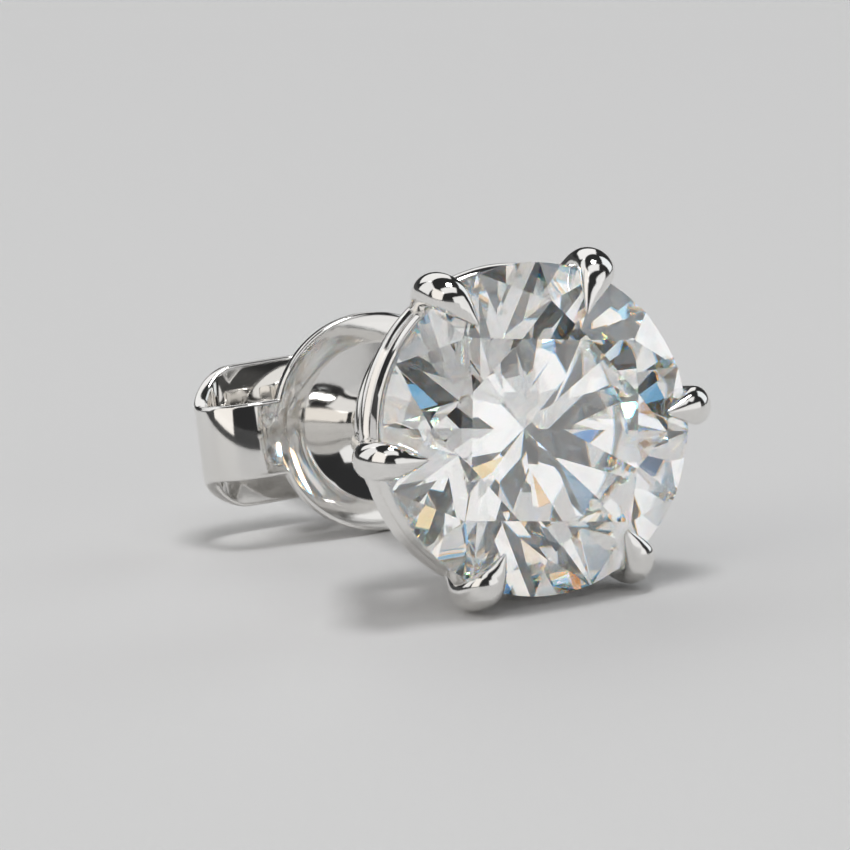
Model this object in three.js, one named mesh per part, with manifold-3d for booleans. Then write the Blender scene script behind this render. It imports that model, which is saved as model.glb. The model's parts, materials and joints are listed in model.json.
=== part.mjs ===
// A stud earring: a round brilliant stone held by six claws in an open basket, with a straight
// post soldered to the basket's base and a friction back (butterfly clutch) pushed onto the post.
//
// Millimetres, +Z up. The earring lies on a flat surface on its two lowest claws and on the rim
// of the friction back, as a loose stud does, with the stone facing -Y and a little upwards.
// Each piece is modelled in the earring's own frame first: the axis is Y, the girdle's middle
// plane is y = 0, the table is on the -Y side and the post runs towards +Y. The whole group is
// then tilted about X until it stands on the plane z = 0.

import * as THREE from "three";
import { mergeVertices } from "three/addons/utils/BufferGeometryUtils.js";
import Module from "manifold-3d";

const wasm = await Module();
wasm.setup();

const degrees = (angle) => (angle * Math.PI) / 180;

// Stone
const stoneDiameter = 8.1; // a round brilliant of about two carats
const tableDiameter = 4.75; // across the table's corners
const crownAngle = degrees(33);
const pavilionAngle = degrees(40.9);
const girdleThickness = 0.22; // where the main facets meet it
const starReach = 0.5; // share of the way from the table's edge to the girdle
const lowerHalfReach = 0.77; // share of the way from the girdle to the culet
const mainFacets = 8;
const girdleFacetsPerHalf = 6; // small facets of the girdle under each upper half
const stoneTurn = degrees(-9); // how the stone happens to be turned in its seat

// Claws
const clawCount = 6;
const clawWidth = 0.92; // thickness of a claw as it passes the girdle
const clawFootWidth = 0.72; // thickness of the same wire at the base ring
const clawBite = 0.24; // how deep the girdle sits in each claw
const clawReach = 0.94; // how far a claw's point reaches in over the crown
const clawPointWidth = 0.07;
const seatGap = 0.05; // between the stone and the metal that holds it

// Basket
const baseRingDiameter = 5.5; // to the middle of the wire
const baseRingWire = 0.72;
const railWire = 0.62; // gallery rail just under the girdle
const railDrop = 1.38; // girdle's middle plane to the rail's middle
const railInset = 0.02; // how far the rail stays inside the girdle
const lipRise = 0.45; // how far the bearing lip rises in front of the rail
const lipInset = 0.15; // how far the lip stays inside the girdle
const bridgeWidth = 1.0; // bar across the base ring that carries the post
const bridgeThickness = 0.34;
const culetGap = 0.1; // between the stone's lowest point and the bridge
const postPadDiameter = 1.9;

// Post
const postDiameter = 0.8;
const postLength = 11.3; // from the base's flat back to the tip
const notchFromTip = 1.0;
const notchWidth = 0.32;
const notchDepth = 0.07;

// Friction back
const lobeGap = 5.5; // room for the ear lobe, from the base's back to the plate's face
const plateDiameter = 5.5;
const sheetThickness = 0.36;
const holeGap = 0.06; // all round the post
const cupDiameter = 3.8; // dished middle of the plate
const cupDepth = 0.42;
const neckHalfWidth = 0.95; // half the strip's width where it leaves the plate
const earHalfWidth = 1.8; // half the width of the wide ear behind the plate
const earEndHalfWidth = 1.25;
const bendFromAxis = 2.9; // from the axis to the start of the outer bend
const bendRadius = 1.15; // to the middle of the sheet
const pinchRadius = 0.6; // to the middle of the sheet, where an ear turns in at the post
const pinchTurn = degrees(215); // how far an ear turns round at the post

const stoneRadius = stoneDiameter / 2;
const tableRadius = tableDiameter / 2;
const postRadius = postDiameter / 2;
const mainStep = (2 * Math.PI) / mainFacets;
const culetDepth = girdleThickness / 2 + stoneRadius * Math.tan(pavilionAngle);
const basketDepth = culetDepth + culetGap + bridgeThickness; // girdle's plane to the flat back

// A point at a radius and a turn about the axis, at a depth along it.
function around(radius, turn, y) {
  return new THREE.Vector3(radius * Math.cos(turn), y, radius * Math.sin(turn));
}

// The closed solid inside a three.js geometry, whichever way its faces were wound.
function solidOf(geometry) {
  const bare = new THREE.BufferGeometry();
  bare.setAttribute("position", geometry.getAttribute("position"));
  bare.setIndex(geometry.getIndex());
  const merged = mergeVertices(bare, 1e-5);
  const corners = merged.getIndex().array;
  const outward = [];
  const inward = [];
  for (let i = 0; i < corners.length; i += 3) {
    const [a, b, c] = [corners[i], corners[i + 1], corners[i + 2]];
    if (a === b || b === c || c === a) continue;
    outward.push(a, b, c);
    inward.push(a, c, b);
  }
  const build = (triangles) =>
    new wasm.Manifold(
      new wasm.Mesh({
        numProp: 3,
        vertProperties: new Float32Array(merged.getAttribute("position").array),
        triVerts: new Uint32Array(triangles),
      }),
    );
  const solid = build(outward);
  return solid.volume() > 0 ? solid : build(inward);
}

// The closed solid with these points and triangles.
function solidFrom(points, corners) {
  const geometry = new THREE.BufferGeometry().setFromPoints(points);
  geometry.setIndex(corners);
  return solidOf(geometry);
}

// A three.js geometry from a solid.
function geometryOf(solid) {
  const mesh = solid.getMesh();
  const geometry = new THREE.BufferGeometry();
  geometry.setAttribute("position", new THREE.BufferAttribute(mesh.vertProperties, 3));
  geometry.setIndex(new THREE.BufferAttribute(mesh.triVerts, 1));
  return geometry;
}

// A closed skin through rings of points that all have the same count. Each end is closed by a
// fan about the end ring's middle.
function loft(rings) {
  const count = rings[0].length;
  const points = rings.flat();
  const corners = [];
  for (let ring = 0; ring + 1 < rings.length; ring += 1) {
    for (let side = 0; side < count; side += 1) {
      const a = ring * count + side;
      const b = ring * count + ((side + 1) % count);
      corners.push(a, b, a + count, b, b + count, a + count);
    }
  }
  for (const [ring, first] of [[rings[0], true], [rings[rings.length - 1], false]]) {
    const start = first ? 0 : (rings.length - 1) * count;
    const middle = points.length;
    const sum = ring.reduce((total, point) => total.add(point), new THREE.Vector3());
    points.push(sum.divideScalar(count));
    for (let side = 0; side < count; side += 1) {
      const [here, next] = [start + side, start + ((side + 1) % count)];
      corners.push(middle, first ? next : here, first ? here : next);
    }
  }
  return solidFrom(points, corners);
}

// A solid of revolution about the axis, from a closed profile of [radius, y] pairs.
function turned(profile, segments) {
  const outline = profile.map(([radius, y]) => new THREE.Vector2(radius, y));
  return solidOf(new THREE.LatheGeometry(outline, segments));
}

// A disc on the axis, between two depths.
function disc(radius, fromY, toY, segments) {
  return turned([[0, fromY], [radius, fromY], [radius, toY], [0, toY]], segments);
}

// The round brilliant, grown by a gap on every side: a table, eight stars, eight bezels and
// sixteen upper halves over a faceted girdle, then sixteen lower halves and eight pavilion mains.
// Before it is turned, the table's corners lie half a step off the X direction.
function brilliant(gap) {
  const radius = stoneRadius + gap;
  const girdleTop = -girdleThickness / 2 - gap;
  const girdleFoot = -girdleTop;
  const flat = Math.cos(mainStep / 2);
  const tableY = girdleTop - (radius - tableRadius) * Math.tan(crownAngle);
  const starRadius = THREE.MathUtils.lerp(tableRadius * flat, radius, starReach);
  const starY = girdleTop - (radius - starRadius * flat) * Math.tan(crownAngle);
  const keelRadius = radius * (1 - lowerHalfReach);
  const keelY = girdleFoot + (radius - keelRadius * flat) * Math.tan(pavilionAngle);
  const culetY = girdleFoot + radius * Math.tan(pavilionAngle);

  const points = [];
  const add = (point) => points.push(point) - 1;
  const tableMiddle = add(new THREE.Vector3(0, tableY, 0));
  const culet = add(new THREE.Vector3(0, culetY, 0));

  // Where a half facet's plane cuts the girdle's wall: the plane passes through the wall at the
  // facet's two ends, at the height edgeY, and through its inner corner.
  function onWall(start, turn, edgeY, inner) {
    const plane = new THREE.Plane().setFromCoplanarPoints(
      around(radius, start, edgeY),
      around(radius, start + mainStep / 2, edgeY),
      inner,
    );
    const { normal, constant } = plane;
    const place = around(radius, turn, 0);
    place.y = -(normal.x * place.x + normal.z * place.z + constant) / normal.y;
    return place;
  }

  const table = [];
  const stars = [];
  const keels = [];
  const rim = [];
  const hem = [];
  for (let main = 0; main < mainFacets; main += 1) {
    const corner = stoneTurn + (main + 0.5) * mainStep;
    const between = corner + mainStep / 2;
    table.push(add(around(tableRadius, corner, tableY)));
    stars.push(add(around(starRadius, between, starY)));
    keels.push(add(around(keelRadius, between, keelY)));
    for (const start of [corner, between]) {
      for (let step = 0; step < girdleFacetsPerHalf; step += 1) {
        const turn = start + (step / girdleFacetsPerHalf) * (mainStep / 2);
        rim.push(add(onWall(start, turn, girdleTop, points[stars[main]])));
        hem.push(add(onWall(start, turn, girdleFoot, points[keels[main]])));
      }
    }
  }

  const corners = [];
  const at = (list, place) => list[(place + list.length) % list.length];
  for (let main = 0; main < mainFacets; main += 1) {
    const [here, next] = [table[main], at(table, main + 1)];
    const [star, lastStar] = [stars[main], at(stars, main - 1)];
    const [keel, lastKeel] = [keels[main], at(keels, main - 1)];
    const first = 2 * main * girdleFacetsPerHalf;
    corners.push(tableMiddle, next, here);
    corners.push(here, next, star);
    corners.push(here, star, rim[first], here, rim[first], lastStar);
    corners.push(culet, hem[first], keel, culet, lastKeel, hem[first]);
    for (let step = first; step < first + 2 * girdleFacetsPerHalf; step += 1) {
      const [a, b] = [rim[step], at(rim, step + 1)];
      const [c, d] = [hem[step], at(hem, step + 1)];
      corners.push(star, b, a);
      corners.push(a, b, c, b, d, c);
      corners.push(keel, c, d);
    }
  }
  return solidFrom(points, corners);
}

// How far in front of the girdle's middle plane the crown's surface is at a radius.
function crownRise(radius) {
  return girdleThickness / 2 + (stoneRadius - radius) * Math.tan(crownAngle);
}

// The rows of a claw, from its foot in the base ring, out to the girdle, over it and down to a
// point on the crown. Each has the radius and depth of the wire's middle, and half the wire's
// width across the claw and half its thickness.
function clawRows() {
  const girdleRadius = stoneRadius + clawWidth / 2 - clawBite;
  const footRadius = baseRingDiameter / 2;
  const onLeg = (share, across, thick) => ({
    radius: THREE.MathUtils.lerp(footRadius, girdleRadius, share),
    y: basketDepth * (1 - share),
    across,
    thick,
  });
  const onBend = (inset, rise, across, thick) => ({
    radius: girdleRadius - inset * clawWidth,
    y: -rise * clawWidth,
    across: across * clawWidth,
    thick: thick * clawWidth,
  });
  const onCrown = (share, across, thick) => {
    const radius = stoneRadius - share * clawReach;
    return { radius, y: -crownRise(radius) - seatGap - thick, across, thick };
  };
  return [
    onLeg(-0.06, 0.5 * clawFootWidth, 0.5 * clawFootWidth),
    onLeg(0.3, 0.5 * clawFootWidth, 0.5 * clawFootWidth),
    onLeg(0.66, 0.44 * clawWidth, 0.42 * clawWidth),
    onBend(0.05, -0.6, 0.49, 0.43),
    onBend(0, 0, 0.52, 0.44),
    onBend(0.2, 0.48, 0.5, 0.4),
    onCrown(0.33, 0.37 * clawWidth, 0.28 * clawWidth),
    onCrown(0.7, 0.185 * clawWidth, 0.15 * clawWidth),
    onCrown(1, 0.5 * clawPointWidth, 0.5 * clawPointWidth),
  ];
}

function claw(turn) {
  const rows = clawRows();
  const path = new THREE.CatmullRomCurve3(rows.map(({ radius, y }) => new THREE.Vector3(radius, y)));
  const sizes = new THREE.CatmullRomCurve3(
    rows.map(({ across, thick }) => new THREE.Vector3(across, thick)),
  );
  const stations = 2 * (rows.length - 1);
  const sides = 12;
  const sideways = new THREE.Vector3(-Math.sin(turn), 0, Math.cos(turn));
  const rings = [];
  for (let station = 0; station <= stations; station += 1) {
    const middle = path.getPoint(station / stations);
    const heading = path.getTangent(station / stations);
    const size = sizes.getPoint(station / stations);
    const outward = around(heading.y, turn, -heading.x);
    const ring = [];
    for (let side = 0; side < sides; side += 1) {
      const angle = (2 * Math.PI * side) / sides;
      const point = around(middle.x, turn, middle.y);
      point.addScaledVector(sideways, size.x * Math.cos(angle));
      point.addScaledVector(outward, size.y * Math.sin(angle));
      ring.push(point);
    }
    rings.push(ring);
  }
  return loft(rings);
}

// The gallery rail with its bearing lip, between the claws just under the girdle.
function galleryRail() {
  const segments = 72;
  const half = railWire / 2;
  const railMiddle = stoneRadius - railInset - half;
  const sides = 10;
  const wire = [];
  for (let side = 0; side <= sides; side += 1) {
    const turn = (2 * Math.PI * (side % sides)) / sides;
    wire.push([railMiddle + half * Math.cos(turn), railDrop + half * Math.sin(turn)]);
  }
  const lipOuter = stoneRadius - lipInset;
  const lipInner = railMiddle - half;
  const lipTop = railDrop - half - lipRise;
  const lip = [
    [lipInner, railDrop],
    [lipInner, lipTop],
    [lipOuter, lipTop],
    [lipOuter, railDrop],
    [lipInner, railDrop],
  ];
  return turned(wire, segments).add(turned(lip, segments));
}

// The base ring, a round wire with its back filed flat.
function baseRing() {
  const half = baseRingWire / 2;
  const middle = baseRingDiameter / 2;
  const flatAngle = degrees(50);
  const centreY = basketDepth - half * Math.sin(flatAngle);
  const sides = 9;
  const profile = [];
  for (let side = 0; side <= sides; side += 1) {
    const angle = flatAngle - (side / sides) * (Math.PI + 2 * flatAngle);
    profile.push([middle + half * Math.cos(angle), centreY + half * Math.sin(angle)]);
  }
  profile.push(profile[0]);
  return turned(profile, 60);
}

// The bar and pad that close the base ring and carry the post, flush with the ring's flat back.
function postBridge() {
  const front = basketDepth - bridgeThickness;
  const bar = new THREE.BoxGeometry(baseRingDiameter, bridgeThickness, bridgeWidth);
  bar.translate(0, (front + basketDepth) / 2, 0);
  return solidOf(bar).add(disc(postPadDiameter / 2, front, basketDepth, 32));
}

// The post, with a notch near its rounded tip.
function post() {
  const tip = basketDepth + postLength;
  const notch = tip - notchFromTip;
  const neck = postRadius - notchDepth;
  const profile = [
    [0, basketDepth - bridgeThickness / 2],
    [postRadius, basketDepth - bridgeThickness / 2],
    [postRadius, notch - notchWidth / 2],
    [neck, notch - notchWidth / 4],
    [neck, notch + notchWidth / 4],
    [postRadius, notch + notchWidth / 2],
  ];
  const domeSteps = 5;
  for (let step = 0; step < domeSteps; step += 1) {
    const angle = degrees(90) * (step / domeSteps);
    profile.push([postRadius * Math.cos(angle), tip - postRadius * (1 - Math.sin(angle))]);
  }
  profile.push([0, tip]);
  return turned(profile, 24);
}

// All the soldered metal of the head: claws, rails, bridge and post, with the stone's seat cut.
function setting() {
  let metal = galleryRail().add(baseRing());
  for (let number = 0; number < clawCount; number += 1) {
    metal = metal.add(claw((number * 2 * Math.PI) / clawCount));
  }
  const behind = disc(stoneDiameter, basketDepth, basketDepth + clawFootWidth, 12);
  return metal.subtract(brilliant(seatGap)).subtract(behind).add(postBridge()).add(post());
}

// One wing of the friction back in the plane across its strip, from the axis out: along the
// plate, round the outer bend, back behind the plate and round the pinch beside the post.
function wingCurves() {
  const pinchMiddle = postRadius + holeGap + sheetThickness / 2 + pinchRadius;
  const rear = 2 * bendRadius;
  const quarter = Math.PI / 2;
  const [start, out] = [new THREE.Vector2(0, 0), new THREE.Vector2(bendFromAxis, 0)];
  const [back, inner] = [new THREE.Vector2(bendFromAxis, rear), new THREE.Vector2(pinchMiddle, rear)];
  return {
    plate: new THREE.LineCurve(start, out),
    bend: new THREE.EllipseCurve(bendFromAxis, bendRadius, bendRadius, bendRadius, -quarter, quarter),
    rear: new THREE.LineCurve(back, inner),
    pinch: new THREE.EllipseCurve(
      pinchMiddle,
      rear - pinchRadius,
      pinchRadius,
      pinchRadius,
      quarter,
      quarter + pinchTurn,
    ),
  };
}

// Half a wing's width along its length, as shares of the way from the plate's edge to its end.
const wingWidths = [
  { share: 0, half: neckHalfWidth },
  { share: 0.28, half: neckHalfWidth },
  { share: 0.52, half: earHalfWidth },
  { share: 0.75, half: earHalfWidth },
  { share: 1, half: earEndHalfWidth },
];

function wingHalfWidth(share) {
  const next = Math.max(1, wingWidths.findIndex((row) => row.share >= share - 1e-9));
  const [from, to] = [wingWidths[next - 1], wingWidths[next]];
  const blend = THREE.MathUtils.smoothstep(share, from.share, to.share);
  return THREE.MathUtils.lerp(from.half, to.half, blend);
}

// The places, headings and half widths of the strip, from the axis to the end of a wing.
function wingStations() {
  const { plate, bend, rear, pinch } = wingCurves();
  const plateRadius = plateDiameter / 2;
  const wingStart = Math.sqrt(plateRadius ** 2 - neckHalfWidth ** 2);
  const stations = [];
  const plateSteps = 12;
  for (let step = 0; step <= plateSteps; step += 1) {
    const x = wingStart * Math.sin((Math.PI / 2) * (step / plateSteps));
    const half = Math.sqrt(plateRadius ** 2 - x ** 2);
    stations.push({ place: new THREE.Vector2(x, 0), heading: new THREE.Vector2(1, 0), half });
  }
  const stretches = [
    { curve: plate, from: wingStart / bendFromAxis, steps: 1 },
    { curve: bend, from: 0, steps: 12 },
    { curve: rear, from: 0, steps: 2 },
    { curve: pinch, from: 0, steps: 10 },
  ];
  const lengthOf = ({ curve, from }) => curve.getLength() * (1 - from);
  const whole = stretches.reduce((sum, stretch) => sum + lengthOf(stretch), 0);
  let passed = 0;
  for (const stretch of stretches) {
    for (let step = 1; step <= stretch.steps; step += 1) {
      const gone = (step / stretch.steps) * lengthOf(stretch);
      const along = THREE.MathUtils.lerp(stretch.from, 1, step / stretch.steps);
      stations.push({
        place: stretch.curve.getPoint(along),
        heading: stretch.curve.getTangent(along),
        half: wingHalfWidth((passed + gone) / whole),
      });
    }
    passed += lengthOf(stretch);
  }
  return stations;
}

// The friction back: a round plate with a dished middle for the post, and two wings that roll
// over behind it and pinch the post between their ears.
function frictionBack() {
  const front = basketDepth + lobeGap;
  const rear = front + sheetThickness;
  const section = ({ place, heading, half }, side) => {
    const corner = (face, height) => {
      const x = place.x - (face * heading.y * sheetThickness) / 2;
      const y = (front + rear) / 2 + place.y + (face * heading.x * sheetThickness) / 2;
      return new THREE.Vector3(side * x, y, height);
    };
    return [corner(1, half), corner(-1, half), corner(-1, -half), corner(1, -half)];
  };
  const stations = wingStations();
  const right = stations.map((station) => section(station, 1));
  const left = stations.slice(1).map((station) => section(station, -1));
  const strip = loft([...left.reverse(), ...right]);

  const segments = 48;
  const cupRadius = cupDiameter / 2;
  const holeRadius = postRadius + holeGap;
  const slopeRadius = (cupRadius + holeRadius) / 2;
  const slopeDepth = 0.8 * cupDepth;
  const seamRadius = cupRadius + sheetThickness / 2;
  const cup = turned(
    [
      [seamRadius, front],
      [seamRadius, rear],
      [cupRadius, rear],
      [slopeRadius, rear + slopeDepth],
      [holeRadius, rear + cupDepth],
      [holeRadius, front + cupDepth],
      [slopeRadius, front + slopeDepth],
      [cupRadius, front],
      [seamRadius, front],
    ],
    segments,
  );
  const cupOpening = disc(cupRadius, front - sheetThickness, rear, segments);
  return strip.subtract(cupOpening).add(cup);
}

// The tilt about X, and the lift along Z, that set the given meshes down on the plane z = 0, on
// the two lowest places that lie on either side of the balance point along the axis.
function restOn(meshes, balanceY) {
  const points = [];
  for (const mesh of meshes) {
    const place = mesh.geometry.getAttribute("position");
    for (let i = 0; i < place.count; i += 1) {
      points.push({ y: place.getY(i), z: place.getZ(i) });
    }
  }
  points.sort((a, b) => a.y - b.y || a.z - b.z);
  const hull = [];
  for (const point of points) {
    while (hull.length > 1) {
      const [a, b] = hull.slice(-2);
      if ((b.y - a.y) * (point.z - a.z) - (b.z - a.z) * (point.y - a.y) > 0) break;
      hull.pop();
    }
    hull.push(point);
  }
  const rear = hull.findIndex((point) => point.y > balanceY);
  const [a, b] = [hull[rear - 1], hull[rear]];
  const tilt = -Math.atan2(b.z - a.z, b.y - a.y);
  return { tilt, lift: -(a.y * Math.sin(tilt) + a.z * Math.cos(tilt)) };
}

const diamond = new THREE.MeshStandardMaterial({ color: 0xf4f6f8, roughness: 0.02, metalness: 0 });
const whiteGold = new THREE.MeshStandardMaterial({ color: 0xe2deda, roughness: 0.12, metalness: 1 });

function piece(name, solid, material) {
  const mesh = new THREE.Mesh(geometryOf(solid), material);
  mesh.name = name;
  return mesh;
}

const stoneMesh = piece("stone", brilliant(0), diamond);
const settingMesh = piece("setting", setting(), whiteGold);
const backMesh = piece("friction_back", frictionBack(), whiteGold);

const earring = new THREE.Group();
earring.add(stoneMesh, settingMesh, backMesh);
const rest = restOn([settingMesh, backMesh], basketDepth / 2);
earring.rotation.x = rest.tilt;

// The group's origin is the middle of its footprint, on the surface that it lies on.
earring.position.z = rest.lift;
const box = new THREE.Box3().setFromObject(earring, true);
earring.position.y = -(box.min.y + box.max.y) / 2;

const part = new THREE.Group();
part.add(earring);

export default part;
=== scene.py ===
import json
import math

import bmesh
import bpy
from mathutils import Matrix, Vector


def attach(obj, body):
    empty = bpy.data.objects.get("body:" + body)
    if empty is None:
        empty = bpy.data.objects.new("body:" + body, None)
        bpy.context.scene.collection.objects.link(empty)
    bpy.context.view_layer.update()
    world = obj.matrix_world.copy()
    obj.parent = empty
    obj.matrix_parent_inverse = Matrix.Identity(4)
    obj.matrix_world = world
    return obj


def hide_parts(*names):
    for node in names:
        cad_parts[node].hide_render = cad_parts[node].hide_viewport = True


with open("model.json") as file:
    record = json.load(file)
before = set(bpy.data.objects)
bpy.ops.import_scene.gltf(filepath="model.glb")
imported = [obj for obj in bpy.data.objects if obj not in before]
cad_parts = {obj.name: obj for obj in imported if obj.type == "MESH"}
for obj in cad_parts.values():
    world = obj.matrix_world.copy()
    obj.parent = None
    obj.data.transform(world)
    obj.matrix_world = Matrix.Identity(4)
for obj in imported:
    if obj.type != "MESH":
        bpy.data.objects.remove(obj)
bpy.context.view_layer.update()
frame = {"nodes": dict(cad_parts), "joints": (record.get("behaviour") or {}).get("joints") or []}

# The earring's own frame, in which every piece is modelled in millimetres: X to the right, Y from
# the stone along the post, Z up, with y = 0 at the girdle's middle plane. A turn about the axis
# starts at X and goes towards Z.
MM = 0.001

# Stone
STONE_RADIUS = 4.05
TABLE_RADIUS = 2.375
CROWN_ANGLE = math.radians(33)
PAVILION_ANGLE = math.radians(40.9)
GIRDLE_THICKNESS = 0.22
STAR_REACH = 0.5
LOWER_HALF_REACH = 0.77
MAIN_FACETS = 8
GIRDLE_FACETS_PER_HALF = 6
GIRDLE_TILT = 0.1
STONE_TURN = math.radians(-9)
MAIN_STEP = 2 * math.pi / MAIN_FACETS
CULET_DEPTH = GIRDLE_THICKNESS / 2 + STONE_RADIUS * math.tan(PAVILION_ANGLE)

# Claws
CLAW_COUNT = 6
CLAW_WIDTH = 0.92
CLAW_FOOT_WIDTH = 0.72
CLAW_BITE = 0.24
CLAW_POINT_WIDTH = 0.07
CLAW_CREASE = 0.45
SEAT_GAP = 0.05

# How the setter bent each claw, from the right one and counterclockwise as seen from the front:
# degrees that its shoulder and its point are off an even spacing, and its reach over the crown.
CLAW_BENDS = [
    (-0.4, -1.0, 0.90),
    (1.2, 2.6, 1.07),
    (-0.4, -1.6, 0.95),
    (2.0, 4.2, 0.83),
    (0.3, 1.2, 0.86),
    (0.5, 1.9, 0.94),
]

# Basket: a gallery rail with a lip that carries the stone, a base ring whose back is filed flat,
# and a bridge of a bar and a round pad across the ring
BRIDGE_WIDTH = 1.0
BRIDGE_THICKNESS = 0.34
BRIDGE_EDGE = 0.07
PAD_RADIUS = 0.95
PAD_EDGE = 0.06
CULET_CLEARANCE = 0.1
BASKET_DEPTH = CULET_DEPTH + CULET_CLEARANCE + BRIDGE_THICKNESS
BASE_RING_RADIUS = 2.75
BASE_RING_WIRE = 0.72
BASE_RING_FLAT = math.radians(50)
RAIL_WIRE = 0.62
RAIL_DROP = 1.38
RAIL_INSET = 0.02
RAIL_RADIUS = STONE_RADIUS - RAIL_INSET - RAIL_WIRE / 2
LIP_RISE = 0.45
LIP_INSET = 0.15
LIP_EDGE = 0.08

# Post
POST_RADIUS = 0.4
POST_LENGTH = 11.3
POST_FILLET = 0.16
DOME_END = math.radians(82)
NOTCH_FROM_TIP = 1.0
NOTCH_WIDTH = 0.32
NOTCH_DEPTH = 0.07
NOTCH_FULLNESS = 0.7

# Friction back: its plate, which is dished from a soft brim down to a flat land round the hole
LOBE_GAP = 5.5
SHEET = 0.36
PLATE_RADIUS = 2.75
PLATE_EDGE = 0.1
CUP_RADIUS = 1.9
CUP_DEPTH = 0.42
CUP_BRIM = 0.12
CUP_BRIM_DEPTH = 0.03
CUP_SLOPE_SHARE = 0.72
HOLE_GAP = 0.06
HOLE_LAND = 0.16
HOLE_EDGE = 0.07
HOLE_RADIUS = POST_RADIUS + HOLE_GAP

# Friction back: its two wings
WING_OVERLAP = 0.75
WING_SINK = 0.003
WING_EDGE = 0.09
NECK_HALF_WIDTH = 0.95
EAR_HALF_WIDTH = 1.8
EAR_END_HALF_WIDTH = 1.25
BEND_FROM_AXIS = 2.9
BEND_RADIUS = 1.15
PINCH_RADIUS = 0.6
PINCH_TURN = math.radians(215)

# Half of the wing's width, at shares of its length from the plate's edge
WING_WIDTHS = [
    (0.0, NECK_HALF_WIDTH),
    (0.28, NECK_HALF_WIDTH),
    (0.52, EAR_HALF_WIDTH),
    (0.75, EAR_HALF_WIDTH),
    (1.0, EAR_END_HALF_WIDTH),
]

# How finely the round shapes are divided
CLAW_STATIONS = 72
CLAW_SIDES = 40
WIRE_SIDES = 24
RAIL_SEGMENTS = 192
RING_SEGMENTS = 144
POST_SEGMENTS = 64
FLOOR_SEGMENTS = 96

# Joined solids lose the points and edges that are closer together or shorter than this.
WELD = 0.001

# Faces that meet at less than this angle are shaded as one smooth surface.
SMOOTH_ANGLE = math.radians(35)

# How diamond bends light: the middle of the spectrum, and its warm and cool halves, whose colours
# add up to white
DIAMOND_INDEX = 2.417
WARM_INDEX = 2.398
COOL_INDEX = 2.454
WARM_LIGHT = (1.6, 0.997, 0.42, 1)
COOL_LIGHT = (0.4, 0.997, 1.57, 1)
PAVILION_COLOUR = (1, 1, 1, 1)
GIRDLE_COLOUR = (0.98, 0.985, 0.99, 1)

# How rough the stone's facets are, from their clearest to their haziest patches
CROWN_HAZE = (0.0, 0.006)
PAVILION_HAZE = (0.0, 0.003)
GIRDLE_HAZE = (0.22, 0.4)

# White gold
GOLD_DARK = (0.83, 0.815, 0.79, 1)
GOLD_LIGHT = (0.91, 0.90, 0.885, 1)
GOLD_SHINE = (0.035, 0.085)
SEAM_RADIUS = 0.07

# The photograph's camera, in the earring's frame: how far it stands to the side of the axis and
# above it, how far it is rolled, how far away it is, and where it aims from the stone's middle
CAMERA_SIDE = math.radians(-23.42)
CAMERA_RISE = math.radians(4.52)
CAMERA_ROLL = math.radians(-7.36)
CAMERA_DISTANCE = 251.1
AIM_RIGHT = -2.665
AIM_UP = 0.107
SENSOR = 36.0
IMAGE_WIDTH = 850
FOCAL_PIXELS = 10363.6

# The studio's floor and lights, in metres. Each light has its name, azimuth (0 in front of the
# stone), elevation, width, height, radiance and colour.
FLOOR_RADIUS = 1.2
FLOOR_INNER_RADII = (0.0, 0.05, 0.2)
FLOOR_SWEEP = 0.2
FLOOR_GREY = 0.8
SKY_TINT = (0.95, 0.97, 1.0, 1)
SKY_STRENGTH = 0.03
NEUTRAL = (1.0, 1.0, 1.0)
WARM = (1.0, 0.965, 0.92)
COOL = (0.93, 0.97, 1.0)
LIGHT_DISTANCE = 0.5
SOFTBOXES = [
    ("front", 24, 12, 0.58, 0.24, 0.87, NEUTRAL),
    ("right", 98, 26, 0.32, 0.40, 1.0, COOL),
    ("above", -14, 62, 0.60, 0.26, 0.92, NEUTRAL),
    ("left", -82, 26, 0.42, 0.42, 1.0, WARM),
    ("far_left", -134, 28, 0.32, 0.38, 0.90, NEUTRAL),
    ("rear", 172, 36, 0.46, 0.30, 0.95, NEUTRAL),
    ("top", 60, 84, 0.14, 0.14, 14.0, NEUTRAL),
]


def earring_frame():
    """The matrix from the earring's frame, in millimetres, to the row frame, in metres."""
    along = Vector(frame["joints"][0]["axis"]).normalized()
    right = Vector((1, 0, 0))
    up = right.cross(along)
    points = [vertex.co for vertex in frame["nodes"]["stone"].data.vertices]
    culet = max(points, key=lambda point: point.dot(along))
    middle = culet - along * CULET_DEPTH * MM
    turn = Matrix((right, along, up)).transposed().to_4x4()
    return Matrix.Translation(middle) @ turn @ Matrix.Scale(MM, 4)


TO_ROW = earring_frame()


def around(radius, turn, y):
    """The point at a radius from the axis and a turn about it."""
    return Vector((radius * math.cos(turn), y, radius * math.sin(turn)))


def lerp(start, end, share):
    return start + (end - start) * share


def smoothstep(share):
    share = min(1.0, max(0.0, share))
    return share * share * (3 - 2 * share)


def arc(middle, radius, start, end, steps):
    """Points of an arc as (x, y) pairs, both ends included."""
    places = []
    for step in range(steps + 1):
        angle = lerp(start, end, step / steps)
        x = middle[0] + radius * math.cos(angle)
        y = middle[1] + radius * math.sin(angle)
        places.append((x, y))
    return places


def spline(rows, share):
    """A Catmull-Rom spline through rows of numbers, at a share of the way from the first row to
    the last."""
    spans = len(rows) - 1
    span = min(int(share * spans), spans - 1)
    t = share * spans - span

    def row(place):
        if place < 0:
            return [2 * a - b for a, b in zip(rows[0], rows[1])]
        if place > spans:
            return [2 * a - b for a, b in zip(rows[-1], rows[-2])]
        return rows[place]

    result = []
    for p0, p1, p2, p3 in zip(row(span - 1), row(span), row(span + 1), row(span + 2)):
        v1 = (p2 - p0) / 2
        v2 = (p3 - p1) / 2
        a = 2 * p1 - 2 * p2 + v1 + v2
        b = -3 * p1 + 3 * p2 - 2 * v1 - v2
        result.append(((a * t + b) * t + v1) * t + p1)
    return result


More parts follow.
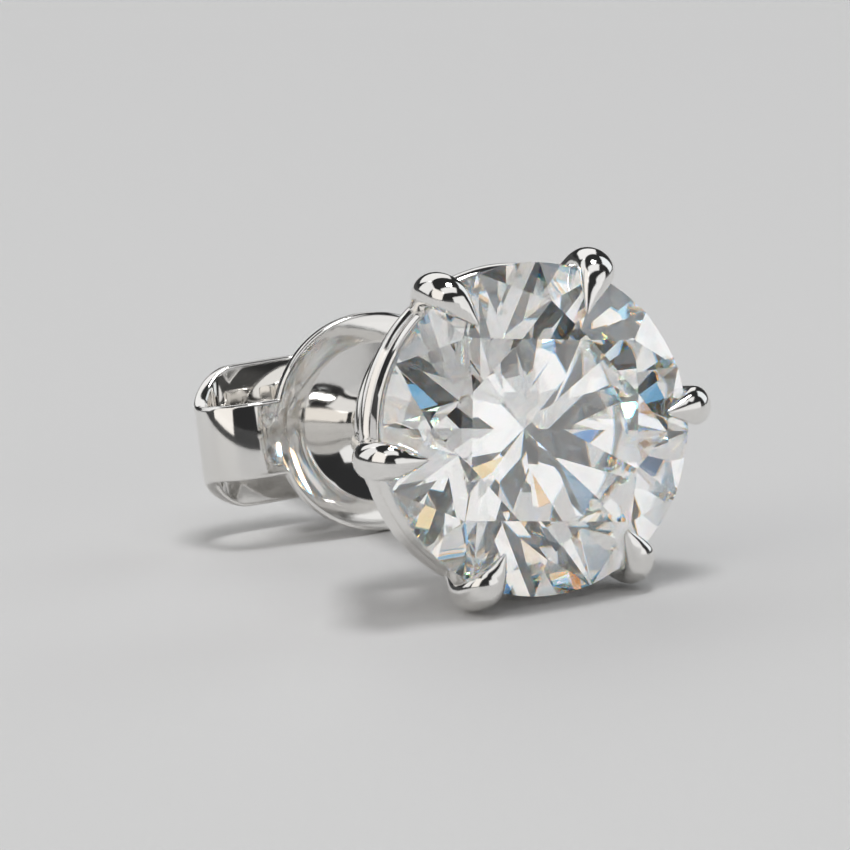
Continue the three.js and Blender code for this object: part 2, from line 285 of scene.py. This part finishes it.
def signed_volume(points, faces):
    """Six times the volume inside the faces, negative where they are turned inwards."""
    volume = 0.0
    for face in faces:
        first = Vector(points[face[0]])
        for second, third in zip(face[1:], face[2:]):
            volume += first.dot(Vector(points[second]).cross(Vector(points[third])))
    return volume


def solid(name, points, faces):
    """A closed mesh object in the earring's frame, with its faces turned outwards."""
    mesh = bpy.data.meshes.new(name)
    mesh.from_pydata([tuple(point) for point in points], [], faces)
    if signed_volume(points, faces) < 0:
        mesh.flip_normals()
    mesh.validate()
    mesh.update()
    obj = bpy.data.objects.new(name, mesh)
    bpy.context.scene.collection.objects.link(obj)
    return obj


def loft(name, rings):
    """A solid through rings of points, with flat ends."""
    count = len(rings[0])
    points = [point for ring in rings for point in ring]
    faces = []
    for ring in range(len(rings) - 1):
        for side in range(count):
            a = ring * count + side
            b = ring * count + (side + 1) % count
            faces.append((a, b, b + count, a + count))
    last = (len(rings) - 1) * count
    faces.append(tuple(reversed(range(count))))
    faces.append(tuple(range(last, last + count)))
    return solid(name, points, faces)


def lathe(name, profile, segments, closed=False):
    """A solid of revolution about the axis, from (radius, y) pairs. An open profile starts and
    ends on the axis, and a closed one joins its end to its start."""
    points = []
    rows = []
    for radius, y in profile:
        if radius == 0:
            rows.append([len(points)] * segments)
            points.append(Vector((0, y, 0)))
            continue
        rows.append(list(range(len(points), len(points) + segments)))
        for segment in range(segments):
            points.append(around(radius, 2 * math.pi * segment / segments, y))
    pairs = list(zip(rows, rows[1:]))
    if closed:
        pairs.append((rows[-1], rows[0]))
    faces = []
    for upper, lower in pairs:
        for segment in range(segments):
            after = (segment + 1) % segments
            corners = [upper[segment], upper[after], lower[after], lower[segment]]
            faces.append(tuple(dict.fromkeys(corners)))
    return solid(name, points, faces)


def box(name, low, high):
    xs, ys, zs = zip(low, high)
    corners = [(x, y, z) for x in xs for y in ys for z in zs]
    faces = [(0, 1, 3, 2), (4, 6, 7, 5), (0, 4, 5, 1), (2, 3, 7, 6), (0, 2, 6, 4), (1, 5, 7, 3)]
    return solid(name, corners, faces)


def applied(obj):
    """The object with its modifiers applied to its mesh."""
    bpy.context.view_layer.update()
    depsgraph = bpy.context.evaluated_depsgraph_get()
    mesh = bpy.data.meshes.new_from_object(obj.evaluated_get(depsgraph))
    old = obj.data
    obj.modifiers.clear()
    obj.data = mesh
    mesh.name = obj.name
    bpy.data.meshes.remove(old)
    return obj


def combined(base, others, operation):
    """The base object joined with the others, or cut by them. The others are removed."""
    for other in others:
        modifier = base.modifiers.new("boolean", "BOOLEAN")
        modifier.object = other
        modifier.operation = operation
        modifier.solver = "MANIFOLD"
    applied(base)
    for other in others:
        mesh = other.data
        bpy.data.objects.remove(other)
        bpy.data.meshes.remove(mesh)
    return base


def bevelled(obj, width, segments):
    modifier = obj.modifiers.new("bevel", "BEVEL")
    modifier.width = width
    modifier.segments = segments
    modifier.limit_method = "ANGLE"
    modifier.angle_limit = math.radians(50)
    return applied(obj)


def cleaned(obj):
    """The object without the slivers that joining solids leaves."""
    shape = bmesh.new()
    shape.from_mesh(obj.data)
    bmesh.ops.remove_doubles(shape, verts=shape.verts, dist=WELD)
    bmesh.ops.dissolve_degenerate(shape, edges=shape.edges, dist=WELD)
    shape.to_mesh(obj.data)
    shape.free()
    return obj


def finished(obj, name, body, material, smooth=True):
    """The object as a piece of the earring: its mesh moves into the row frame, and it gets its
    material and body."""
    obj.name = name
    obj.data.name = name
    obj.data.transform(TO_ROW)
    for polygon in obj.data.polygons:
        polygon.use_smooth = smooth
    if smooth:
        obj.data.set_sharp_from_angle(angle=SMOOTH_ANGLE)
    obj.data.materials.clear()
    obj.data.materials.append(material)
    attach(obj, body)
    return obj


def brilliant_levels(gap):
    """The radius and y of each kind of corner of the brilliant, grown by a gap on every side."""
    radius = STONE_RADIUS + gap
    edge = GIRDLE_THICKNESS / 2 + gap
    crown_slope = math.tan(CROWN_ANGLE)
    pavilion_slope = math.tan(PAVILION_ANGLE)
    flat = math.cos(MAIN_STEP / 2)
    star_radius = lerp(TABLE_RADIUS * flat, radius, STAR_REACH)
    keel_radius = radius * (1 - LOWER_HALF_REACH)
    return {
        "table": (TABLE_RADIUS, -edge - (radius - TABLE_RADIUS) * crown_slope),
        "star": (star_radius, -edge - (radius - star_radius * flat) * crown_slope),
        "rim": (radius, -edge),
        "hem": (radius, edge),
        "keel": (keel_radius, edge + (radius - keel_radius * flat) * pavilion_slope),
        "culet": (0, edge + radius * pavilion_slope),
    }


def on_level(level, turn):
    radius, y = level
    return around(radius, turn, y)


def girdle_point(level, start, turn, inner):
    """Where the girdle's wall, at a turn, meets the half facet that spans the wall from its start
    to half a main facet further and has its third corner inside."""
    first = on_level(level, start)
    second = on_level(level, start + MAIN_STEP / 2)
    normal = (second - first).cross(inner - first)
    place = on_level(level, turn)
    across = normal.x * (place.x - first.x) + normal.z * (place.z - first.z)
    place.y = first.y - across / normal.y
    return place


def brilliant_corners(gap):
    """The brilliant's corners, and each kind's places among them."""
    levels = brilliant_levels(gap)
    points = []
    places = {kind: [] for kind in levels}

    def add(kind, point):
        places[kind].append(len(points))
        points.append(point)
        return point

    for main in range(MAIN_FACETS):
        corner = STONE_TURN + (main + 0.5) * MAIN_STEP
        between = corner + MAIN_STEP / 2
        add("table", on_level(levels["table"], corner))
        star = add("star", on_level(levels["star"], between))
        keel = add("keel", on_level(levels["keel"], between))
        for start in (corner, between):
            for step in range(GIRDLE_FACETS_PER_HALF):
                turn = start + step / GIRDLE_FACETS_PER_HALF * MAIN_STEP / 2
                add("rim", girdle_point(levels["rim"], start, turn, star))
                add("hem", girdle_point(levels["hem"], start, turn, keel))
    add("culet", on_level(levels["culet"], 0))
    return points, places


def brilliant_facets(places):
    """The table, and for each main facet its star, bezel, pavilion main, halves and girdle."""
    table, star, keel = places["table"], places["star"], places["keel"]
    rim, hem = places["rim"], places["hem"]
    culet = places["culet"][0]
    facets = [tuple(table)]
    for main in range(MAIN_FACETS):
        first = 2 * main * GIRDLE_FACETS_PER_HALF
        following = (main + 1) % MAIN_FACETS
        facets.append((table[following], table[main], star[main]))
        facets.append((table[main], star[main - 1], rim[first], star[main]))
        facets.append((culet, keel[main], hem[first], keel[main - 1]))
        for half in (0, 1):
            start = first + half * GIRDLE_FACETS_PER_HALF
            span = [(start + step) % len(rim) for step in range(GIRDLE_FACETS_PER_HALF + 1)]
            facets.append((star[main], *[rim[place] for place in span]))
            facets.append((keel[main], *[hem[place] for place in reversed(span)]))
            for here, after in zip(span, span[1:]):
                facets.append((rim[here], hem[here], hem[after], rim[after]))
    return facets


def brilliant(name, gap):
    """The round brilliant, grown by a gap on every side, with each facet one flat face."""
    points, places = brilliant_corners(gap)
    return solid(name, points, brilliant_facets(places))


def crown_rise(radius):
    """How far the crown stands in front of the girdle's middle plane at a radius."""
    return GIRDLE_THICKNESS / 2 + (STONE_RADIUS - radius) * math.tan(CROWN_ANGLE)


def claw_rows(reach):
    """Rows from a claw's foot to its point: the radius and y of the wire's middle, half its width
    across the claw, half its thickness, and how sharp its outer side's crease is."""
    girdle_radius = STONE_RADIUS + CLAW_WIDTH / 2 - CLAW_BITE
    half_foot = CLAW_FOOT_WIDTH / 2

    def on_leg(share, across, thick):
        radius = lerp(BASE_RING_RADIUS, girdle_radius, share)
        return (radius, BASKET_DEPTH * (1 - share), across, thick, 0.0)

    def on_bend(inset, rise, across, thick, crease):
        radius = girdle_radius - inset * CLAW_WIDTH
        return (radius, -rise * CLAW_WIDTH, across * CLAW_WIDTH, thick * CLAW_WIDTH, crease)

    def on_crown(share, across, thick, crease):
        radius = STONE_RADIUS - share * reach
        return (radius, -crown_rise(radius) - SEAT_GAP - thick, across, thick, crease)

    return [
        on_leg(-0.06, half_foot, half_foot),
        on_leg(0.3, half_foot, half_foot),
        on_leg(0.66, 0.44 * CLAW_WIDTH, 0.42 * CLAW_WIDTH),
        on_bend(0.05, -0.6, 0.49, 0.43, 0.0),
        on_bend(0, 0, 0.52, 0.44, 0.0),
        on_bend(0.2, 0.48, 0.5, 0.4, 0.1),
        on_crown(0.33, 0.37 * CLAW_WIDTH, 0.28 * CLAW_WIDTH, 0.4),
        on_crown(0.7, 0.185 * CLAW_WIDTH, 0.15 * CLAW_WIDTH, 0.9),
        on_crown(1, 0.5 * CLAW_POINT_WIDTH, 0.5 * CLAW_POINT_WIDTH, 1.0),
    ]


def claw_heading(rows, share):
    """Which way the claw's middle line runs at a share of its length, as (radius, y)."""
    nearby = 1e-4
    before = spline(rows, max(0.0, share - nearby))
    after = spline(rows, min(1.0, share + nearby))
    return Vector((after[0] - before[0], after[1] - before[1])).normalized()


def claw_ring(number, rows, share):
    """A claw's outline at a share of its length, with a crease along its outer side."""
    shoulder, point, _ = CLAW_BENDS[number]
    radius, y, across, thick, crease = spline(rows, share)
    heading = claw_heading(rows, share)
    bend = lerp(smoothstep(2 * share) * shoulder, point, smoothstep(2 * share - 1))
    turn = 2 * math.pi * number / CLAW_COUNT + math.radians(bend)
    sideways = Vector((-math.sin(turn), 0, math.cos(turn)))
    outward = around(heading.y, turn, -heading.x)
    middle = around(radius, turn, y)
    sharpness = 1 + CLAW_CREASE * max(0.0, crease)
    ring = []
    for side in range(CLAW_SIDES):
        angle = 2 * math.pi * side / CLAW_SIDES
        aside = math.cos(angle)
        out = math.sin(angle)
        if out > 0:
            aside = math.copysign(abs(aside) ** sharpness, aside)
            out = out ** sharpness
        ring.append(middle + sideways * (across * aside) + outward * (thick * out))
    return ring


def claw(number):
    reach = CLAW_BENDS[number][2]
    rows = claw_rows(reach)
    shares = [station / CLAW_STATIONS for station in range(CLAW_STATIONS + 1)]
    return loft("claw", [claw_ring(number, rows, share) for share in shares])


def rail():
    """The gallery rail, a ring of round wire under the girdle."""
    last = WIRE_SIDES - 1
    end = 2 * math.pi * last / WIRE_SIDES
    wire = arc((RAIL_RADIUS, RAIL_DROP), RAIL_WIRE / 2, 0, end, last)
    return lathe("rail", wire, RAIL_SEGMENTS, closed=True)


def lip():
    """The bearing lip that stands on the rail, on which the stone sits."""
    inner = RAIL_RADIUS - RAIL_WIRE / 2
    outer = STONE_RADIUS - LIP_INSET
    top = RAIL_DROP - RAIL_WIRE / 2 - LIP_RISE
    profile = [(inner, RAIL_DROP), (inner, top), (outer - LIP_EDGE, top)]
    profile += arc((outer - LIP_EDGE, top + LIP_EDGE), LIP_EDGE, -math.pi / 2, 0, steps=4)
    profile.append((outer, RAIL_DROP))
    return lathe("lip", profile, RAIL_SEGMENTS, closed=True)


def base_ring():
    """A ring of round wire, filed flat where it lies in the plane of the basket's back."""
    half = BASE_RING_WIRE / 2
    centre = (BASE_RING_RADIUS, BASKET_DEPTH - half * math.sin(BASE_RING_FLAT))
    profile = arc(centre, half, BASE_RING_FLAT, -math.pi - BASE_RING_FLAT, steps=22)
    return lathe("base_ring", profile, RING_SEGMENTS, closed=True)


def bridge():
    """The bar across the base ring and the round pad in its middle."""
    front = BASKET_DEPTH - BRIDGE_THICKNESS
    low = (-BASE_RING_RADIUS, front, -BRIDGE_WIDTH / 2)
    high = (BASE_RING_RADIUS, BASKET_DEPTH, BRIDGE_WIDTH / 2)
    bar = bevelled(box("bar", low, high), BRIDGE_EDGE, segments=3)
    reach = PAD_RADIUS - PAD_EDGE
    profile = [(0, front), (reach, front)]
    profile += arc((reach, front + PAD_EDGE), PAD_EDGE, -math.pi / 2, 0, steps=4)
    profile += arc((reach, BASKET_DEPTH - PAD_EDGE), PAD_EDGE, 0, math.pi / 2, steps=4)
    profile.append((0, BASKET_DEPTH))
    return [bar, lathe("pad", profile, POST_SEGMENTS)]


def post():
    """The post, with a fillet at its foot, a notch for the friction back and a domed tip. The
    dome's arc stops short of the axis, and the last point closes it."""
    tip = BASKET_DEPTH + POST_LENGTH
    notch = tip - NOTCH_FROM_TIP
    start = BASKET_DEPTH - BRIDGE_THICKNESS / 2
    foot = POST_RADIUS + POST_FILLET
    fillet_middle = (foot, BASKET_DEPTH + POST_FILLET)
    profile = [(0, start), (foot, start)]
    profile += arc(fillet_middle, POST_FILLET, -math.pi / 2, -math.pi, steps=6)
    steps = 12
    for step in range(steps + 1):
        share = step / steps
        dip = NOTCH_DEPTH * (0.5 - 0.5 * math.cos(2 * math.pi * share)) ** NOTCH_FULLNESS
        profile.append((POST_RADIUS - dip, notch + (share - 0.5) * NOTCH_WIDTH))
    profile += arc((0, tip - POST_RADIUS), POST_RADIUS, 0, DOME_END, steps)
    profile.append((0, tip))
    return lathe("post", profile, POST_SEGMENTS)


def setting():
    """All the metal in front of the lobe as one soldered solid, cut to the stone's seat and to
    the basket's flat back."""
    metal = rail()
    claws = [claw(number) for number in range(CLAW_COUNT)]
    combined(metal, [lip(), base_ring()] + claws, "UNION")
    beyond = STONE_RADIUS + CLAW_WIDTH
    low = (-beyond, BASKET_DEPTH, -beyond)
    high = (beyond, BASKET_DEPTH + CLAW_WIDTH, beyond)
    combined(metal, [brilliant("seat", SEAT_GAP), box("behind", low, high)], "DIFFERENCE")
    return cleaned(combined(metal, bridge() + [post()], "UNION"))


def wing_half_width(share):
    """Half of the wing's width at a share of its length from the plate's edge."""
    for (start, before), (end, after) in zip(WING_WIDTHS, WING_WIDTHS[1:]):
        if share <= end:
            return lerp(before, after, smoothstep((share - start) / (end - start)))
    return EAR_END_HALF_WIDTH


def straight_run(start, end, y, heading, steps):
    """Rows (x, y, heading) of a strip that runs straight, without the first one."""
    return [(lerp(start, end, step / steps), y, heading) for step in range(1, steps + 1)]


def round_run(middle, radius, start, turn, steps):
    """Rows (x, y, heading) of a strip that turns round a middle, without the first one."""
    rows = []
    for step in range(1, steps + 1):
        angle = start + turn * step / steps
        x = middle[0] + radius * math.cos(angle)
        y = middle[1] + radius * math.sin(angle)
        rows.append((x, y, angle + math.pi / 2))
    return rows


def wing_path(start):
    """The middle of a wing's strip as (x, y, heading) rows: from inside the plate, round the
    outer bend, back behind the plate and round the pinch beside the post."""
    pinch_middle = HOLE_RADIUS + SHEET / 2 + PINCH_RADIUS
    rear = 2 * BEND_RADIUS
    bend = (BEND_FROM_AXIS, BEND_RADIUS)
    pinch = (pinch_middle, rear - PINCH_RADIUS)
    rows = [(start, 0.0, 0.0)]
    rows += straight_run(start, BEND_FROM_AXIS, y=0.0, heading=0.0, steps=4)
    rows += round_run(bend, BEND_RADIUS, -math.pi / 2, math.pi, steps=36)
    rows += straight_run(BEND_FROM_AXIS, pinch_middle, y=rear, heading=math.pi, steps=8)
    rows += round_run(pinch, PINCH_RADIUS, math.pi / 2, PINCH_TURN, steps=32)
    return rows


def strip_section(half_width):
    """The outline of a wing's strip, a rectangle with rounded corners, as (through, height)
    pairs. It is a little thinner than the plate, so that no two faces share a plane."""
    half_sheet = SHEET / 2 - WING_SINK
    section = []
    for corner, (through, height) in enumerate(((1, 1), (-1, 1), (-1, -1), (1, -1))):
        centre = (through * (half_sheet - WING_EDGE), height * (half_width - WING_EDGE))
        start = corner * math.pi / 2
        section += arc(centre, WING_EDGE, start, start + math.pi / 2, steps=3)
    return section


def wing(side):
    """One wing, on the right for side 1 and on the left for side -1."""
    start = PLATE_RADIUS - WING_OVERLAP
    rows = wing_path(start)
    lengths = [0.0]
    for (x0, y0, _), (x1, y1, _) in zip(rows, rows[1:]):
        lengths.append(lengths[-1] + math.hypot(x1 - x0, y1 - y0))
    middle_y = BASKET_DEPTH + LOBE_GAP + SHEET / 2
    plate_edge = math.sqrt(PLATE_RADIUS ** 2 - NECK_HALF_WIDTH ** 2)
    whole = start + lengths[-1] - plate_edge
    rings = []
    for (x, y, heading), length in zip(rows, lengths):
        passed = start + length - plate_edge
        half_width = wing_half_width(max(0.0, passed / whole))
        ring = []
        for through, height in strip_section(half_width):
            place_x = x - math.sin(heading) * through
            place_y = middle_y + y + math.cos(heading) * through
            ring.append(Vector((side * place_x, place_y, height)))
        rings.append(ring)
    return loft("wing", rings)


def plate():
    """The friction back's round plate, with a rounded rim, a dished cup and a rounded hole."""
    front = BASKET_DEPTH + LOBE_GAP
    rear = front + SHEET
    slope_radius = (CUP_RADIUS + HOLE_RADIUS) / 2
    cup = [
        (CUP_RADIUS + CUP_BRIM, 0.0),
        (CUP_RADIUS, CUP_BRIM_DEPTH),
        (slope_radius, CUP_SLOPE_SHARE * CUP_DEPTH),
        (HOLE_RADIUS + HOLE_LAND, CUP_DEPTH),
    ]
    cup_front = []
    steps = 24
    for step in range(steps + 1):
        radius, depth = spline(cup, step / steps)
        cup_front.append((radius, front + depth))
    cup_rear = [(radius, y + SHEET) for radius, y in reversed(cup_front)]
    rim_middle = PLATE_RADIUS - PLATE_EDGE
    rim = arc((rim_middle, rear - PLATE_EDGE), PLATE_EDGE, math.pi / 2, 0, steps=5)
    rim += arc((rim_middle, front + PLATE_EDGE), PLATE_EDGE, 0, -math.pi / 2, steps=5)
    hole_middle = HOLE_RADIUS + HOLE_EDGE
    hole_front = front + CUP_DEPTH + HOLE_EDGE
    hole_rear = rear + CUP_DEPTH - HOLE_EDGE
    hole = arc((hole_middle, hole_front), HOLE_EDGE, -math.pi / 2, -math.pi, steps=4)
    hole += arc((hole_middle, hole_rear), HOLE_EDGE, math.pi, math.pi / 2, steps=4)
    return lathe("plate", rim + cup_front + hole + cup_rear, RING_SEGMENTS, closed=True)


def friction_back():
    return combined(plate(), [wing(1), wing(-1)], "UNION")


def node(tree, kind, **values):
    """A new shader node, with values for its inputs or settings."""
    made = tree.nodes.new(kind)
    for name, value in values.items():
        if name in made.inputs:
            made.inputs[name].default_value = value
        else:
            setattr(made, name, value)
    return made


def new_material(name):
    material = bpy.data.materials.new(name)
    material.use_nodes = True
    tree = material.node_tree
    shader = tree.nodes["Principled BSDF"]
    return material, tree, shader


def noise(tree, axes=(1.0, 1.0, 1.0), **values):
    """Noise over the piece, with a factor for each axis: below 1 draws the noise out along it."""
    place = node(tree, "ShaderNodeTexCoord")
    mapping = node(tree, "ShaderNodeMapping", Scale=axes)
    made = node(tree, "ShaderNodeTexNoise", **values)
    tree.links.new(place.outputs["Object"], mapping.inputs["Vector"])
    tree.links.new(mapping.outputs["Vector"], made.inputs["Vector"])
    return made.outputs["Fac"]


def mapped(tree, value, source, result):
    """The value, taken from its source range to the result range."""
    made = node(tree, "ShaderNodeMapRange")
    names = ("From Min", "From Max", "To Min", "To Max")
    for name, number in zip(names, source + result):
        made.inputs[name].default_value = number
    tree.links.new(value, made.inputs["Value"])
    return made.outputs["Result"]


def bumped(tree, height, strength, depth):
    """A bump node, for a height whose full range is so many millimetres deep."""
    made = node(tree, "ShaderNodeBump", Strength=strength, Distance=depth * MM)
    tree.links.new(height, made.inputs["Height"])
    return made


def white_gold():
    """Bright polished white gold: faint polishing marks, small changes of tone and shine, and
    seams that melt into each other as soldered joints do."""
    material, tree, shader = new_material("white_gold")
    shader.inputs["Metallic"].default_value = 1.0
    cloud = noise(tree, Scale=420.0, Detail=4.0)
    tone = node(tree, "ShaderNodeValToRGB")
    dark, light = tone.color_ramp.elements
    dark.position = 0.3
    dark.color = GOLD_DARK
    light.position = 0.75
    light.color = GOLD_LIGHT
    tree.links.new(cloud, tone.inputs["Fac"])
    tree.links.new(tone.outputs["Color"], shader.inputs["Base Color"])
    shine = mapped(tree, cloud, source=(0.3, 0.7), result=GOLD_SHINE)
    tree.links.new(shine, shader.inputs["Roughness"])
    marks = noise(tree, axes=(1.0, 0.25, 1.0), Scale=2600.0, Detail=3.0)
    seam = node(tree, "ShaderNodeBevel", samples=6, Radius=SEAM_RADIUS * MM)
    bump = bumped(tree, marks, strength=0.04, depth=0.02)
    tree.links.new(seam.outputs["Normal"], bump.inputs["Normal"])
    tree.links.new(bump.outputs["Normal"], shader.inputs["Normal"])
    return material


def facet_haze(tree, haze):
    """Faint patches of haze on a stone's facets, as a roughness."""
    smear = noise(tree, Scale=700.0, Detail=5.0, Roughness=0.6)
    return mapped(tree, smear, source=(0.45, 0.75), result=haze)


def crown_material():
    """Diamond that bends blue light more than red, which gives the stone its fire."""
    material, tree, shader = new_material("diamond_crown")
    tree.nodes.remove(shader)
    haze = facet_haze(tree, CROWN_HAZE)
    both = node(tree, "ShaderNodeMixShader", Fac=0.5)
    halves = ((WARM_LIGHT, WARM_INDEX), (COOL_LIGHT, COOL_INDEX))
    for place, (colour, index) in enumerate(halves, start=1):
        glass = node(tree, "ShaderNodeBsdfGlass", IOR=index, Color=colour)
        tree.links.new(haze, glass.inputs["Roughness"])
        tree.links.new(glass.outputs["BSDF"], both.inputs[place])
    tree.links.new(both.outputs["Shader"], tree.nodes["Material Output"].inputs["Surface"])
    return material


def even_diamond(name, colour, haze):
    """Diamond that bends all colours of light alike."""
    material, tree, shader = new_material(name)
    shader.inputs["Base Color"].default_value = colour
    shader.inputs["IOR"].default_value = DIAMOND_INDEX
    shader.inputs["Transmission Weight"].default_value = 1.0
    tree.links.new(facet_haze(tree, haze), shader.inputs["Roughness"])
    return material, tree, shader


def pavilion_material():
    material, _, _ = even_diamond("diamond_pavilion", PAVILION_COLOUR, PAVILION_HAZE)
    return material


def girdle_material():
    """The stone's edge, ground but not polished, with a fine grain."""
    material, tree, shader = even_diamond("diamond_girdle", GIRDLE_COLOUR, GIRDLE_HAZE)
    grain = noise(tree, Scale=14000.0, Detail=2.0)
    bump = bumped(tree, grain, strength=0.3, depth=0.01)
    tree.links.new(bump.outputs["Normal"], shader.inputs["Normal"])
    return material


def facet_material(normal):
    """The place of a facet's material: 0 for the crown, 1 for the pavilion and 2 for the girdle,
    whose facets hardly tilt along the axis."""
    if abs(normal.y) < GIRDLE_TILT:
        return 2
    return 1 if normal.y > 0 else 0


def diamond():
    """The stone with its crown, its pavilion and its girdle each in a material of its own."""
    obj = brilliant("brilliant", 0.0)
    places = [facet_material(polygon.normal) for polygon in obj.data.polygons]
    finished(obj, "brilliant", "earring", crown_material(), smooth=False)
    obj.data.materials.append(pavilion_material())
    obj.data.materials.append(girdle_material())
    for polygon, place in zip(obj.data.polygons, places):
        polygon.material_index = place
    return obj


def floor_material():
    material, _, shader = new_material("floor")
    shader.inputs["Base Color"].default_value = (FLOOR_GREY, FLOOR_GREY, FLOOR_GREY, 1)
    shader.inputs["Roughness"].default_value = 0.6
    return material


def floor():
    """A wide pale floor that sweeps up at its edge. Its inner rings keep it evenly level where
    the earring lies."""
    profile = [(radius, 0) for radius in FLOOR_INNER_RADII]
    profile += arc((FLOOR_RADIUS, FLOOR_SWEEP), FLOOR_SWEEP, -math.pi / 2, 0, steps=12)
    points = []
    faces = []
    for radius, height in profile:
        for segment in range(FLOOR_SEGMENTS):
            turn = 2 * math.pi * segment / FLOOR_SEGMENTS
            points.append((radius * math.cos(turn), radius * math.sin(turn), height))
    for row in range(len(profile) - 1):
        for segment in range(FLOOR_SEGMENTS):
            a = row * FLOOR_SEGMENTS + segment
            b = row * FLOOR_SEGMENTS + (segment + 1) % FLOOR_SEGMENTS
            faces.append((a, b, b + FLOOR_SEGMENTS, a + FLOOR_SEGMENTS))
    mesh = bpy.data.meshes.new("floor")
    mesh.from_pydata(points, [], faces)
    mesh.validate()
    for polygon in mesh.polygons:
        polygon.use_smooth = True
    mesh.materials.append(floor_material())
    obj = bpy.data.objects.new("floor", mesh)
    bpy.context.scene.collection.objects.link(obj)


def in_row_frame(x, y, z):
    """A direction of the earring's frame, as a unit vector of the row frame."""
    return (TO_ROW.to_3x3() @ Vector((x, y, z))).normalized()


def camera_axes():
    """The camera's right, its up and its back, which points from the stone to the camera."""
    right = in_row_frame(1, 0, 0)
    along = in_row_frame(0, 1, 0)
    up = in_row_frame(0, 0, 1)
    turn = Matrix((right, -along, up)).transposed()
    back = turn @ Vector((
        math.cos(CAMERA_RISE) * math.sin(CAMERA_SIDE),
        math.cos(CAMERA_RISE) * math.cos(CAMERA_SIDE),
        math.sin(CAMERA_RISE),
    ))
    level = up.cross(back).normalized()
    rise = back.cross(level)
    view_right = level * math.cos(CAMERA_ROLL) + rise * math.sin(CAMERA_ROLL)
    return view_right, back.cross(view_right), back


def camera():
    """The photograph's camera."""
    right, up, back = camera_axes()
    aim = TO_ROW.translation + (right * AIM_RIGHT + up * AIM_UP) * MM
    data = bpy.data.cameras.new("camera")
    data.sensor_width = SENSOR
    data.lens = FOCAL_PIXELS / IMAGE_WIDTH * SENSOR
    data.clip_start = 0.01
    data.clip_end = 10
    obj = bpy.data.objects.new("camera", data)
    bpy.context.scene.collection.objects.link(obj)
    pose = Matrix((right, up, back)).transposed().to_4x4()
    obj.matrix_world = Matrix.Translation(aim + back * CAMERA_DISTANCE * MM) @ pose
    bpy.context.scene.camera = obj


def softbox(name, azimuth, elevation, width, height, radiance, colour):
    """An area light that faces the stone."""
    data = bpy.data.lights.new(name, "AREA")
    data.color = colour
    data.shape = "RECTANGLE"
    data.size = width
    data.size_y = height
    data.energy = radiance * math.pi * width * height
    obj = bpy.data.objects.new(name, data)
    bpy.context.scene.collection.objects.link(obj)
    turn = math.radians(azimuth)
    rise = math.radians(elevation)
    level = math.cos(rise)
    way = Vector((math.sin(turn) * level, -math.cos(turn) * level, math.sin(rise)))
    obj.visible_camera = False
    obj.location = TO_ROW.translation + way * LIGHT_DISTANCE
    obj.rotation_euler = way.to_track_quat("Z", "Y").to_euler()


def studio():
    """The lights, a faint sky, and enough bounces for light to find its way out of the stone."""
    scene = bpy.context.scene
    scene.world = bpy.data.worlds.new("studio")
    scene.world.use_nodes = True
    background = scene.world.node_tree.nodes["Background"]
    background.inputs["Color"].default_value = SKY_TINT
    background.inputs["Strength"].default_value = SKY_STRENGTH
    for values in SOFTBOXES:
        softbox(*values)
    scene.view_settings.view_transform = "Standard"
    scene.cycles.denoising_input_passes = "RGB"
    scene.cycles.max_bounces = 24
    scene.cycles.glossy_bounces = 20
    scene.cycles.transmission_bounces = 20


camera()
studio()
floor()
metal = white_gold()
stone = diamond()
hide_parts("stone")
head = finished(setting(), "claw_setting", "earring", metal)
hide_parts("setting")
back = finished(friction_back(), "butterfly_back", "back", metal)
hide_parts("friction_back")
